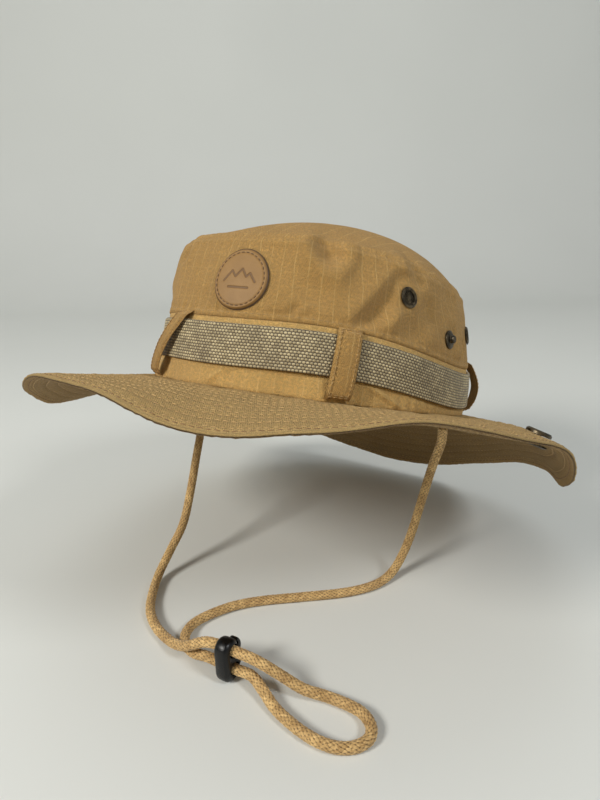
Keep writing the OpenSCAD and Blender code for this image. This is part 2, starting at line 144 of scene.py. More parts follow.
def rings_across(side, up, turns):
    """A unit ring across each pair of directions."""
    return side[:, None] * np.cos(turns)[None, :, None] + up[:, None] * np.sin(turns)[None, :, None]


# ---- meshes ----


def mesh_object(name, points, faces, uv=None, material=None):
    """A smooth-shaded mesh in the row frame; uv has one pair for each face corner."""
    mesh = bpy.data.meshes.new(name)
    mesh.from_pydata(np.asarray(points).reshape(-1, 3).tolist(), [], faces)
    if uv is not None:
        layer = mesh.uv_layers.new(name="UVMap")
        layer.data.foreach_set("uv", np.asarray(uv, np.float32).ravel())
    mesh.polygons.foreach_set("use_smooth", [True] * len(mesh.polygons))
    mesh.update()
    obj = bpy.data.objects.new(name, mesh)
    bpy.context.scene.collection.objects.link(obj)
    if material:
        mesh.materials.append(material)
    return obj


def grid_faces(n, m, wrap_n, wrap_m):
    """The quads of an n by m grid, as indexes of its points and of its UV pairs."""
    i = np.arange(n if wrap_n else n - 1)[:, None]
    j = np.arange(m if wrap_m else m - 1)[None, :]
    corners = [(i, j), (i + 1, j), (i + 1, j + 1), (i, j + 1)]
    quads = np.stack([(r % n) * m + c % m for r, c in corners], -1).reshape(-1, 4)
    cells = np.stack([r * (m + wrap_m) + c for r, c in corners], -1).reshape(-1, 4)
    return quads, cells


def grid_object(name, points, uv, material, wrap_n=True, caps=False):
    """A mesh over a grid of row-frame points whose rows are rings; uv has one more pair each way it wraps."""
    n, m = points.shape[:2]
    quads, cells = grid_faces(n, m, wrap_n, True)
    faces = quads.tolist()
    corner_uv = uv.reshape(-1, 2)[cells.ravel()]
    if caps:
        faces += [list(range(m)), list(range((n - 1) * m, n * m))[::-1]]
        corner_uv = np.concatenate([corner_uv, uv[0, :m], uv[-1, :m][::-1]])
    return mesh_object(name, points, faces, corner_uv, material)


def attribute(obj, name, values):
    layer = obj.data.attributes.new(name, "FLOAT", "POINT")
    layer.data.foreach_set("value", np.asarray(values, np.float32).ravel())


def face_outwards(obj):
    bm = bmesh.new()
    bm.from_mesh(obj.data)
    bmesh.ops.recalc_face_normals(bm, faces=bm.faces)
    bm.to_mesh(obj.data)
    bm.free()
    return obj


def disc_object(name, loop, flat, material):
    """A closed round sheet: a grid, angles by rows, that crosses one face and comes back over the other."""
    n, m = loop.shape[:2]
    quads, _ = grid_faces(n, m, True, False)
    faces = quads.tolist() + [[i * m + m - 1 for i in range(n)], [i * m for i in range(n)][::-1]]
    corner_uv = np.concatenate([flat.reshape(-1, 2)[np.array(f)] for f in faces])
    return face_outwards(mesh_object(name, worn(loop), faces, corner_uv, material))


def place(obj, body, slot, *nodes):
    """Rides obj on a body and stands for the CAD nodes, which it hides. The slot argument is not used."""
    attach(obj, body)
    if nodes:
        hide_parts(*nodes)
    return obj


def bend(obj, side, slot, *nodes):
    """For brim cloth: bakes its placing into its mesh and hides the CAD nodes it stands for. The side and
    slot arguments are not used.
    """
    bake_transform(obj)
    if nodes:
        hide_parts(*nodes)
    return obj


def run_length(points):
    """Distance along a row of points, starting at 0."""
    steps = np.linalg.norm(np.diff(points, axis=0), axis=-1)
    return np.concatenate([[0], np.cumsum(steps)])


def spread_along(points, pitch):
    """Fractional indexes of evenly spaced places along a row of points."""
    along = run_length(points)
    count = max(int(along[-1] / pitch), 1)
    want = (np.arange(count) + 0.5) * along[-1] / count
    return np.interp(want, along, np.arange(len(points)))


def sample(rows, index):
    low = np.floor(index).astype(int)
    high = np.minimum(low + 1, len(rows) - 1)
    part = (index - low)[:, None]
    return rows[low] * (1 - part) + rows[high] * part


def stitches(name, paths, material, pitch=3.4, length=2.6, radius=0.28, lift=0.08):
    """Thread stitches along (points, normals) rows in hat millimetres, sunk part way into the cloth."""
    sides = 6
    # Each ring's place along the stitch, its share of the radius, and its rise as a share of the radius
    rings = [(-0.5, 0.35, -0.5), (-0.4, 0.95, 0), (0, 1, 0.25), (0.4, 0.95, 0), (0.5, 0.35, -0.5)]
    template = np.array([
        (x * length, r * radius * np.cos(t), r * radius * np.sin(t) + h * radius)
        for x, r, h in rings for t in ring_turns(sides)
    ])
    centres, alongs, ups = [], [], []
    for points, normals in paths:
        index = spread_along(points, pitch)
        ahead = sample(points, np.minimum(index + 0.25, len(points) - 1))
        behind = sample(points, np.maximum(index - 0.25, 0))
        centres.append(sample(points, index))
        alongs.append(unit(ahead - behind))
        ups.append(unit(sample(normals, index)))
    centre, along, up = (np.concatenate(x) for x in (centres, alongs, ups))
    side = unit(np.cross(up, along))
    up = np.cross(along, side)
    axes = np.stack([along, side, up], 1)
    points = (centre + up * lift)[:, None] + np.einsum("tk,nkd->ntd", template, axes)
    count = len(template)
    starts = np.arange(len(points)) * count
    one, _ = grid_faces(len(rings), sides, False, True)
    faces = (one[None] + starts[:, None, None]).reshape(-1, 4).tolist()
    for start in starts.tolist():
        faces.append(list(range(start, start + sides))[::-1])
        faces.append(list(range(start + count - sides, start + count)))
    return face_outwards(mesh_object(name, worn(points), faces, None, material))


def tube(name, paths, radius, sides, material):
    """Thin round wires along rows of row-frame points in metres."""
    aslant = np.array([0.3, 0.5, 0.81])  # along none of the wires
    all_points, faces, start = [], [], 0
    for path in paths:
        ahead = unit(np.gradient(path, axis=0))
        side = unit(np.cross(ahead, aslant))
        ring = rings_across(side, np.cross(side, ahead), ring_turns(sides))
        all_points.append((path[:, None] + ring * radius).reshape(-1, 3))
        quads, _ = grid_faces(len(path), sides, False, True)
        last = start + (len(path) - 1) * sides
        faces += (quads + start).tolist()
        faces += [list(range(start, start + sides))[::-1], list(range(last, last + sides))]
        start = last + sides
    return face_outwards(mesh_object(name, np.concatenate(all_points), faces, None, material))


# ---- materials ----

# The cloth's twill and ripstop grid, in millimetres
TWILL_PITCH, TWILL_SLOPE = 0.9, 0.7
GRID_PITCH, GRID_LINE = 6.8, 0.32


def tone(red, green, blue):
    """A colour given as screen values from 0 to 255, as linear values."""
    s = np.array([red, green, blue]) / 255
    return (*np.where(s <= 0.04045, s / 12.92, ((s + 0.055) / 1.055) ** 2.4).tolist(), 1.0)


class Look:
    """A material being wired; values are numbers, colours or sockets."""

    def __init__(self, name, roughness=0.8, **inputs):
        self.material = bpy.data.materials.new(name)
        self.material.use_nodes = True
        tree = self.material.node_tree
        self.nodes, self.links = tree.nodes, tree.links
        self.shader = self.nodes["Principled BSDF"]
        self.shader.inputs["Roughness"].default_value = roughness
        for key, value in inputs.items():
            self.shader.inputs[key.replace("_", " ")].default_value = value

    def put(self, socket, value):
        if isinstance(value, bpy.types.NodeSocket):
            self.links.new(value, socket)
        else:
            socket.default_value = value

    def maths(self, operation, a, b=0.0, c=0.0):
        n = self.nodes.new("ShaderNodeMath")
        n.operation = operation
        for socket, value in zip(n.inputs, (a, b, c)):
            self.put(socket, value)
        return n.outputs[0]

    def times(self, a, b):
        return self.maths("MULTIPLY", a, b)

    def plus(self, a, b):
        return self.maths("ADD", a, b)

    def uv(self):
        n = self.nodes.new("ShaderNodeUVMap")
        n.uv_map = "UVMap"
        return n.outputs[0]

    def solid(self):
        """Places in the mesh in metres, for pieces with no UV map."""
        return self.nodes.new("ShaderNodeTexCoord").outputs["Object"]

    def parts(self, vector):
        n = self.nodes.new("ShaderNodeSeparateXYZ")
        self.put(n.inputs[0], vector)
        return n.outputs[0], n.outputs[1]

    def noise(self, where, scale, detail=2.0, rough=0.5):
        n = self.nodes.new("ShaderNodeTexNoise")
        self.put(n.inputs["Vector"], where)
        n.inputs["Scale"].default_value = scale
        n.inputs["Detail"].default_value = detail
        n.inputs["Roughness"].default_value = rough
        return n.outputs["Fac"]

    def patches(self, noise, low, high, to_low, to_high):
        """Noise with its contrast raised: low to high becomes to_low to to_high."""
        return self.remap(self.noise(*noise), low, high, to_low, to_high)

    def stretched(self, vector, x, y):
        n = self.nodes.new("ShaderNodeMapping")
        self.put(n.inputs["Vector"], vector)
        n.inputs["Scale"].default_value = (x, y, 1)
        return n.outputs[0]

    def remap(self, value, low, high, to_low, to_high):
        n = self.nodes.new("ShaderNodeMapRange")
        for socket, v in zip(n.inputs, (value, low, high, to_low, to_high)):
            self.put(socket, v)
        return n.outputs[0]

    def mix(self, factor, a, b):
        n = self.nodes.new("ShaderNodeMix")
        n.data_type = "RGBA"
        self.put(n.inputs["Factor"], factor)
        self.put(n.inputs[6], a)
        self.put(n.inputs[7], b)
        return n.outputs[2]

    def mark(self, name):
        n = self.nodes.new("ShaderNodeAttribute")
        n.attribute_name = name
        return n.outputs["Fac"]

    def colour(self, value):
        self.put(self.shader.inputs["Base Color"], value)

    def rough(self, value):
        self.put(self.shader.inputs["Roughness"], value)

    def bump(self, height, distance):
        n = self.nodes.new("ShaderNodeBump")
        n.inputs["Distance"].default_value = distance
        self.put(n.inputs["Height"], height)
        self.put(self.shader.inputs["Normal"], n.outputs[0])


def dashes(look, value, other, step, width):
    """Fine bright lines every step millimetres of value, broken up along their run."""
    wobble = look.times(look.noise(look.uv(), 0.06, 1), 3.0)
    cell = look.maths("FRACT", look.maths("DIVIDE", look.plus(value, wobble), step))
    off = look.times(look.maths("ABSOLUTE", look.maths("SUBTRACT", cell, 0.5)), step)
    line = look.remap(off, width * 0.4, width, 1.0, 0.0)
    broken = look.remap(look.noise(look.stretched(look.uv(), *other), 1.0, 2), 0.4, 0.6, 0.25, 1.0)
    return look.times(line, broken)


def cloth_look(name, base, line, lines=1.0, darker=0.5, brim=False):
    """Ripstop cotton: a fine weave, a lighter yellowish grid and soft washed unevenness, on millimetre UVs.

    The brim's marks paint shade into its sunk stitch rows and into the seam where its two cloths meet, and
    paint a highlight, broken up in patches, round its rim.
    """
    look = Look(name, roughness=0.9, Sheen_Weight=0.1, Sheen_Roughness=0.5, Specular_IOR_Level=0.2)
    uv = look.uv()
    u, v = look.parts(uv)
    washed = look.patches((uv, 0.045, 3, 0.6), 0.3, 0.7, 0.0, 1.0)
    dark = tuple(x * darker for x in base[:3]) + (1,)
    body = look.mix(look.times(washed, 0.35), base, dark)
    grain = look.patches((uv, 0.75, 5, 0.8), 0.4, 0.6, 0.0, 1.0)
    body = look.mix(look.times(grain, 0.85), body, dark)
    slanted = look.plus(u, look.times(v, TWILL_SLOPE))
    twill = look.maths("SINE", look.times(slanted, 2 * math.pi / TWILL_PITCH))
    thread = look.times(look.remap(twill, -1.0, 1.0, 0.0, 0.3), grain)
    body = look.mix(thread, body, line)
    if brim:
        # Painted shade: the sunk stitch rows are darkened.
        body = look.mix(look.times(look.mark("sunk"), 0.6), body, dark)
        # Painted highlight: the rim is lightened towards the line colour, broken up in patches.
        rim_highlight = look.patches((uv, 1.4, 3, 0.7), 0.4, 0.6, 0.1, 0.75)
        body = look.mix(look.times(look.mark("rim"), rim_highlight), body, line)
        # Painted shade: the seam where the brim's two cloths meet is darkened.
        seam_shade = look.patches((uv, 0.9, 2, 0.6), 0.38, 0.55, 0.35, 0.9)
        body = look.mix(look.times(look.mark("seam_shade"), seam_shade), body, tone(74, 50, 26))
    upright = dashes(look, u, (1.0, 0.12), GRID_PITCH, GRID_LINE)
    level = dashes(look, v, (0.12, 1.0), GRID_PITCH, GRID_LINE)
    grid = look.maths("MAXIMUM", upright, look.times(level, 0.3))
    look.colour(look.mix(look.times(grid, 0.5 * lines), body, line))
    rough = look.maths("MULTIPLY_ADD", grain, 1.2, look.times(grid, 0.6))
    look.bump(look.plus(look.times(twill, 0.3), rough), 0.00032)
    return look.material


def webbing_look():
    """Flat woven webbing: rows of pale picks, each row half a pick along, over a grey-brown ground."""
    look = Look("webbing", roughness=0.55, Sheen_Weight=0.1, Specular_IOR_Level=0.4)
    uv = look.uv()
    u, v = look.parts(uv)
    row = look.maths("DIVIDE", v, PICK_H)
    lane = look.maths("FLOOR", row)
    place_along = look.plus(look.maths("DIVIDE", u, PICK_W), look.times(lane, 0.5))
    bumps = []
    for value in (row, place_along):
        off = look.maths("SUBTRACT", look.maths("FRACT", value), 0.5)
        square = look.times(look.times(off, off), 4.0)
        bumps.append(look.maths("SUBTRACT", 1.0, square))
    pick = look.times(bumps[0], bumps[1])
    cell = look.nodes.new("ShaderNodeCombineXYZ")
    look.put(cell.inputs[0], look.maths("FLOOR", place_along))
    look.put(cell.inputs[1], lane)
    dice = look.nodes.new("ShaderNodeTexWhiteNoise")
    look.put(dice.inputs["Vector"], cell.outputs[0])
    fibre = look.noise(look.stretched(uv, 1.2, 7), 1.0, 3)
    ground = look.mix(fibre, tone(58, 49, 37), tone(92, 80, 61))
    pale = look.mix(dice.outputs["Value"], tone(170, 154, 116), tone(226, 209, 164))
    pale = look.mix(look.patches((uv, 0.05, 2), 0.35, 0.65, 0.0, 0.4), pale, tone(128, 114, 90))
    body = look.mix(look.remap(pick, 0.2, 0.5, 0.0, 1.0), ground, pale)
    look.colour(look.mix(look.remap(fibre, 0.35, 0.65, 0.0, 0.25), body, tone(88, 76, 58)))
    look.bump(look.plus(pick, look.times(fibre, 0.5)), 0.0002)
    return look.material


def leather_look():
    look = Look("leather", roughness=0.5, Specular_IOR_Level=0.4)
    uv = look.uv()
    pores = look.noise(uv, 2.2, 4, 0.7)
    cloudy = look.patches((uv, 0.12, 3), 0.3, 0.7, 0.0, 1.0)
    body = look.mix(cloudy, tone(136, 102, 53), tone(148, 112, 61))
    body = look.mix(look.remap(pores, 0.52, 0.72, 0.0, 0.4), body, tone(112, 80, 46))
    body = look.mix(look.mark("mark"), body, tone(98, 70, 42))
    look.colour(look.mix(look.mark("edge"), body, tone(70, 50, 32)))
    look.rough(look.remap(pores, 0.3, 0.7, 0.42, 0.6))
    look.bump(pores, 0.00012)
    return look.material


def bronze_look():
    """Antique bronze: dark, with rubbed brighter patches."""
    look = Look("bronze", roughness=0.36, Metallic=0.92)
    where = look.solid()
    rubbed = look.patches((where, 420, 4, 0.6), 0.4, 0.68, 0.0, 1.0)
    look.colour(look.mix(rubbed, tone(62, 56, 46), tone(112, 100, 78)))
    look.rough(look.patches((where, 900, 3), 0.3, 0.7, 0.26, 0.46))
    look.bump(look.noise(where, 1500, 3), 0.00005)
    return look.material


def cord_look():
    """Braided cord: golden strands, with painted shade in the darker gaps between them."""
    look = Look("cord", roughness=0.72, Sheen_Weight=0.15, Specular_IOR_Level=0.35)
    uv = look.uv()
    strand = look.mark("strand")
    fleck = look.patches((look.stretched(uv, 1.0, 1.8), 0.8, 4, 0.75), 0.36, 0.62, 0.0, 1.0)
    bright = look.maths("MULTIPLY_ADD", look.mark("tint"), 0.45, look.times(fleck, 0.55))
    gold = look.mix(bright, tone(150, 114, 62), tone(246, 208, 142))
    cloudy = look.patches((uv, 0.1, 2), 0.35, 0.65, 0.0, 0.35)
    gold = look.mix(cloudy, gold, tone(142, 104, 60))
    # Painted shade: the gaps between the strands' crests are coloured dark.
    look.colour(look.mix(look.remap(strand, 0.12, 0.5, 1.0, 0.0), gold, tone(66, 46, 25)))
    look.bump(look.noise(look.stretched(uv, 1, 3), 2.4, 2), 0.00014)
    return look.material


def plastic_look():
    look = Look("black_plastic", roughness=0.42, Specular_IOR_Level=0.35)
    where = look.solid()
    look.colour(look.mix(look.noise(where, 300, 2), tone(5, 5, 6), tone(12, 12, 13)))
    look.rough(look.patches((where, 600, 3), 0.3, 0.7, 0.26, 0.4))
    look.bump(look.noise(where, 2600, 2), 0.00003)
    return look.material


def steel_look():
    look = Look("spring_steel", roughness=0.3, Metallic=1.0)
    look.colour(look.mix(look.noise(look.solid(), 500, 2), tone(150, 150, 152), tone(186, 186, 188)))
    return look.material


def thread_look(name, light, dark):
    look = Look(name, roughness=0.7, Sheen_Weight=0.1)
    twist = look.noise(look.solid(), 900, 2)
    look.colour(look.mix(look.remap(twist, 0.35, 0.65, 0.0, 1.0), light, dark))
    look.bump(twist, 0.00008)
    return look.material


def floor_look():
    look = Look("floor", roughness=0.7)
    look.colour(look.mix(look.noise(look.solid(), 3, 2), tone(214, 216, 211), tone(221, 223, 218)))
    return look.material


CROWN_CLOTH = cloth_look("crown_cloth", tone(212, 165, 93), tone(236, 199, 129))
# Painted light: the lower band is the crown's cloth made lighter, standing in for light thrown up off the
# brim.
BOUNCE_LIT_BAND_CLOTH = cloth_look("band_cloth", tone(248, 201, 120), tone(250, 214, 147), darker=0.56)
BRIM_CLOTH = cloth_look("brim_cloth", tone(217, 178, 109), tone(236, 199, 129), lines=0.15, brim=True)
# Painted shade: the brim's underside is its top cloth made darker, for the shade under the brim.
SHADED_UNDER_CLOTH = cloth_look("under_cloth", tone(178, 143, 87), tone(192, 155, 99), lines=0.1, brim=True)
INNER_CLOTH = cloth_look("sweatband_cloth", tone(158, 124, 78), tone(176, 142, 96), lines=0.0)
WEBBING = webbing_look()
LEATHER = leather_look()
BRONZE = bronze_look()
CORD = cord_look()
PLASTIC = plastic_look()
STEEL = steel_look()
THREAD = thread_look("thread", tone(196, 162, 104), tone(156, 122, 72))
EDGE_THREAD = thread_look("edge_thread", tone(148, 114, 66), tone(112, 82, 46))
BADGE_THREAD = thread_look("badge_thread", tone(104, 76, 48), tone(70, 50, 32))

# ---- the hat's surfaces ----


def edge_height(a):
    """The brim's edge, above or below its seam, at each angle."""
    s = np.asarray(a, float) / (360 / len(EDGE_RISE))
    i = np.floor(s).astype(int)
    return spline(*(EDGE_RISE[(i + k) % len(EDGE_RISE)] for k in (-1, 0, 1, 2)), s - i)


def brim_point(a, t, drop=0.0):
    """Points on the brim: t is 0 at the crown seam and 1 at the edge."""
    rad = np.radians(a)
    h, side = edge_height(a), np.sin(rad)
    droop = np.where(side > 0, side**4, 0)
    corner = np.maximum(0, np.cos(rad + math.radians(30)))
    drawn_in = np.where(side > 0, 0.1 * side**4 * np.abs(h), 4 * corner**30)
    reach = (np.sqrt(BRIM_LEN**2 - h**2) - drawn_in) * t
    k = np.maximum(t, 0)
    fall = (1 - droop) * (0.35 * k + 0.65 * k * k) + droop * k**5
    x = (CROWN_W / 2 + reach) * side
    y = -(CROWN_L / 2 + reach) * np.cos(rad)
    return np.stack([x, y, h * fall - drop + 0 * t], -1)


def slack_side(a, z):
    """How far the cloth stands out, or in, between the badge and the wearer's right."""
    away = turn_from(a, -50)
    inward = -4.6 * lump(away, 17) * smooth(z, 2, 16) * (1 - smooth(z, 38, 50))
    return inward + 2.2 * lump(away, 22) * lump(z - 62, 7)


def crown_point(a, z, off=0.0):
    """Points on the crown's side, off millimetres outside its smooth shape."""
    off = off + slack_side(a, z)
    up = np.maximum(z, 0) / CROWN_H
    k = 1 - (1 - CROWN_TAPER) * up**2.6
    rad = np.radians(a)
    x = (CROWN_W / 2 * k + off) * np.sin(rad)
    y = -(CROWN_L / 2 * k + off) * np.cos(rad) - CROWN_LEAN * up**2
    return np.stack([x, y, z + 0 * rad], -1)


def wave(a):
    """How much higher or lower the webbing and the band's seam ride round the hat."""
    return 2 * np.sin(2 * np.radians(a)) ** 2 - SIDE_DIP * np.sin(np.radians(a)) ** 4


def tip_seam(a):
    return CROWN_H + TIP_SHARE * wave(a)


def webbing_foot(a):
    return WEBBING_Z + wave(a)


def crown_frame(a, z, off=0.0):
    """A place on the crown with its along, up and outward directions, in hat millimetres."""
    a = np.asarray(a, float)
    z = z + 0 * a
    along = unit(crown_point(a + 1, z) - crown_point(a - 1, z))
    up = unit(crown_point(a, z + 1) - crown_point(a, z - 1))
    return crown_point(a, z, off), along, up, unit(np.cross(along, up))


ARC = 1.6  # millimetres round the crown for each degree, near enough for cloth patterns

# Soft dents in the crown: from (angle, height) to (angle, height), width and depth in millimetres
CREASES = [
    (31, 70, 33, 66, 6, 5.4),
    (58, 58, 44, 34, 4.5, 2.9),
    (68, 50, 60, 34, 6, 1.5),
    (22, 33, 24, 38, 2.2, 1.1),
    (27, 31, 29, 36, 2.2, 1.0),
    (16, 60, 30, 46, 7, 1.3),
    (66, 67, 64, 62, 5, 1.8),
    (93, 36, 90, 26, 3.5, 1.8),
    (84, 60, 72, 46, 6, 1.4),
    (-30, 69, -27, 62, 4, 2.2),
    (-45, 62, -52, 40, 8, 1.4),
    (150, 60, 128, 40, 9, 1.8),
    (112, 58, 124, 42, 6, 1.2),
    (-80, 58, -110, 42, 8, 1.6),
    (-140, 62, -126, 40, 7, 1.5),
    (190, 58, 170, 40, 7, 1.4),
]


def creases(a, z):
    """The dents above, each with a low ridge on either side."""
    total = 0 * (a + z)
    for a0, z0, a1, z1, width, depth in CREASES:
        gap = gap_to_line(turn_from(a, a0) * ARC, z - z0, (a1 - a0) * ARC, z1 - z0)
        total = total - depth * lump(gap, width) + 0.35 * depth * lump(gap - 1.7 * width, width * 0.8)
    return total


def calm(a, z):
    """0 close to the badge, vents and studs, where the cloth is held flat, and 1 away from them."""
    free = 1.0 + 0 * (a + z)
    spots = [(BADGE_ANGLE, BADGE_Z, BADGE_R + 1, BADGE_R + 8)]
    for side in (-1, 1):
        spots += [(side * v, height, 5.5, 12) for v, height in VENTS]
        spots.append((side * STUD_ANGLE, STUD_Z, 5.5, 11))
    for at, height, near, far in spots:
        free = free * smooth(np.hypot(turn_from(a, at) * ARC, z - height), near, far)
    return free


def crown_relief(a, z):
    """How far the crown's cloth stands off its smooth shape."""
    soft = 0.7 * ripple(a, z, 11, (5, 16), 0.09) + 0.25 * ripple(a, z, 12, (20, 44), 0.25)
    free = calm(a, z)
    low, top = z - BAND_H - wave(a), z - tip_seam(a)
    body = (soft + creases(a, z)) * smooth(low, 1, 7) * free
    pull = 0.35 * ripple(a, 0 * z, 13, (70, 120), 0) * lump(low - 2.5, 4.5)
    seam = -0.8 * lump(top, 1.0) + 0.35 * lump(top + 2.6, 1.7)
    gather = 0.3 * ripple(a, 0 * z, 14, (60, 110), 0) * lump(top, 6)
    return body + pull + seam + gather * free


def shell_grid(step, count):
    """Angles at every step degrees and count rows from 0 to 1, each as a list and as one side of a grid."""
    angles, rows = np.arange(0, 360, step), np.linspace(0, 1, count)
    return angles, rows, angles[:, None], rows[None, :]


def closed_shell(name, outer, inner, material, uv_u, outer_v, inner_v=None):
    """A ring of cloth from an outer and an inner grid (angles by rows), both running upwards."""
    inner_v = outer_v if inner_v is None else inner_v
    loop = np.concatenate([outer, inner[:, ::-1]], 1)
    v = np.concatenate([outer_v, inner_v[::-1], outer_v[:1]])
    u = np.append(uv_u, uv_u[-1] + uv_u[1] - uv_u[0])
    uv = np.stack(np.meshgrid(u, v, indexing="ij"), -1)
    return grid_object(name, worn(loop), uv, material)


def drop_faces(obj, lines, radius):
    """Opens holes in a shell, within radius of each (centre, direction) line through its wall."""
    reach = 30 * MM  # keeps a line from opening the wall across the hat
    mesh = obj.data
    co = np.empty(len(mesh.polygons) * 3)
    mesh.polygons.foreach_get("center", co)
    co = co.reshape(-1, 3)
    gone = np.zeros(len(co), bool)
    for centre, axis in lines:
        away = co - centre
        aside = np.linalg.norm(away - (away @ axis)[:, None] * axis, axis=1)
        gone |= (aside < radius) & (np.linalg.norm(away, axis=1) < reach)
    bm = bmesh.new()
    bm.from_mesh(mesh)
    bm.faces.ensure_lookup_table()
    bmesh.ops.delete(bm, geom=[bm.faces[i] for i in np.nonzero(gone)[0]], context="FACES_ONLY")
    bm.to_mesh(mesh)
    bm.free()


def vent_places():
    """Each vent's place on the crown, with its along, up and outward directions."""
    for side in (-1, 1):
        for a, height in VENTS:
            yield crown_frame(side * a, height)


def crown_side():
    angles, rows, a, u = shell_grid(0.6, 64)
    low = BAND_H + wave(a)
    z = low + (tip_seam(a) - low) * u
    hem = (0.6 * smooth(z, low, low + 0.9) - 0.3 * lump(z - low - 3.6, 1.0)) * lump(z - low, 7)
    relief = crown_relief(a, z)
    outer = crown_point(a, z, relief + hem)
    inner = crown_point(a, z, relief * 0.9 - CLOTH_T)
    obj = closed_shell("crown_side_cloth", outer, inner, CROWN_CLOTH, angles * ARC, rows * SIDE_H)
    drop_faces(obj, [(worn(p), unit(worn(n))) for p, _, _, n in vent_places()], VENT_CUT_R * MM)
    place(obj, "root", "cloth", "crown_side")


def tip_point(a, s, sink=0.0):
    """Points on the crown's tip panel: s is 1 at its seam and 0 at its middle."""
    around, seam_z = a + 0 * s, tip_seam(a) + 0 * s
    rim = crown_point(around, seam_z, crown_relief(around, seam_z) * s**6)
    x, y = rim[..., 0] * s, rim[..., 1] * s + (DOME_BACK - CROWN_LEAN) * (1 - s)
    dome = DOME_H * (1 - s**2.3) * (1 + DOME_SKEW * s * np.cos(np.radians(a - DOME_SIDE)))
    across, back = x / 20, y / 20
    soft = 0.9 * np.sin(across * 1.3 + 0.6 * back + 0.4) * np.cos(back * 1.1 - 0.5 * across)
    soft = soft + 0.6 * np.sin(2.3 * across - 1.7 * back + 1.0)
    dip = -4.5 * lump(np.hypot(x - 46, y + 70), 13) - 1.6 * lump(np.hypot(x + 40, y + 72), 12)
    inset = (1 - s) * TIP_REACH
    seam = 0.5 * lump(inset - 2.6, 1.5) - 0.45 * lump(inset - TIP_ROW, 0.8) - 0.5 * lump(inset, 0.8)
    height = CROWN_H + (rim[..., 2] - CROWN_H) * s + dome + (soft + dip) * smooth(1 - s, 0, 0.16)
    return np.stack([x, y, height + seam + CLOTH_T * 0.6 - sink], -1)


def crown_tip():
    a = np.arange(0, 360, 0.75)[:, None]
    s = np.concatenate([1 - 0.3 * np.linspace(0, 1, 50) ** 1.2, np.linspace(0.68, 0.02, 34)])[None, :]
    loop = np.concatenate([tip_point(a, s, CLOTH_T)[:, ::-1], tip_point(a, s)], 1)
    place(disc_object("crown_tip_cloth", loop, loop[..., :2], CROWN_CLOTH), "root", "cloth", "crown_tip")


def crown_lower_band():
    angles, rows, a, u = shell_grid(0.6, 42)
    z = (BAND_H + wave(a)) * u
    free = 1 - smooth(z, webbing_foot(a) - 3, webbing_foot(a))
    pucker = 0.4 * ripple(a, z, 21, (50, 100), 0.2) * lump(z, 7)
    pucker = pucker + 0.6 * ripple(a, z, 22, (8, 22), 0.15) * free
    fold = 1.8 * lump((a - 54) * ARC + (z - 5) * 2.2, 2.6) * lump(z - 5, 5)
    tuck = 1.2 * lump((a - 1) * ARC - (z - 4) * 1.2, 1.8) * lump(z - 4, 4)
    relief = np.minimum((pucker + fold + tuck) * free, 1.8) - 0.4 * lump(z, 1.0)
    outer = crown_point(a, z, relief)
    inner = crown_point(a, z, relief * 0.5 - CLOTH_T)
    obj = closed_shell("crown_band_cloth", outer, inner, BOUNCE_LIT_BAND_CLOTH, angles * ARC + 3, rows * BAND_H)
    place(obj, "root", "cloth", "crown_lower_band")


def sweatband():
    angles, rows, a, u = shell_grid(1.0, 24)
    z = 0.5 + (BAND_H - 2.5) * u
    pucker = 0.25 * ripple(a, z, 31, (30, 70), 0.2)
    hem = 0.35 * (lump(z - 3, 1.6) + lump(z - BAND_H + 4.5, 1.6))
    inner = crown_point(a, z, -2.3 * CLOTH_T - np.maximum(pucker + hem, -0.3))
    outer = crown_point(a, z, -CLOTH_T - 0.1)
    obj = closed_shell("sweatband_cloth", outer, inner, INNER_CLOTH, angles * ARC, rows * 29)
    place(obj, "root", "sweatband_cloth", "sweatband")
    round_ = np.arange(0, 361, 1.0)
    paths = [(crown_point(round_, height, -2.3 * CLOTH_T - 0.35), -crown_frame(round_, height)[3])
             for height in (5.2, 25.0)]
    place(stitches("sweatband_stitches", paths, THREAD), "root", "sweatband_cloth")


# ---- brim ----

BRIM_STEP = 0.6
# Stitch rows, from the brim's edge inwards, and the row that closes the edge
STITCH_ROWS, FIRST_ROW, ROW_GAP, EDGE_ROW = 10, 4.2, 5.6, 1.8
# Places round the edge's section, in degrees from level, and how far each stands out
EDGE_TURNS = np.array([-67, -45, -24, -12, 0, 30, 60])
EDGE_SWINGS = np.array([1, 1, 1, 0.55, 1, 1, 1])
# The brim snaps, where the cloth is clamped flat
SOCKET_X, SOCKET_Y = 128.0, -18.7


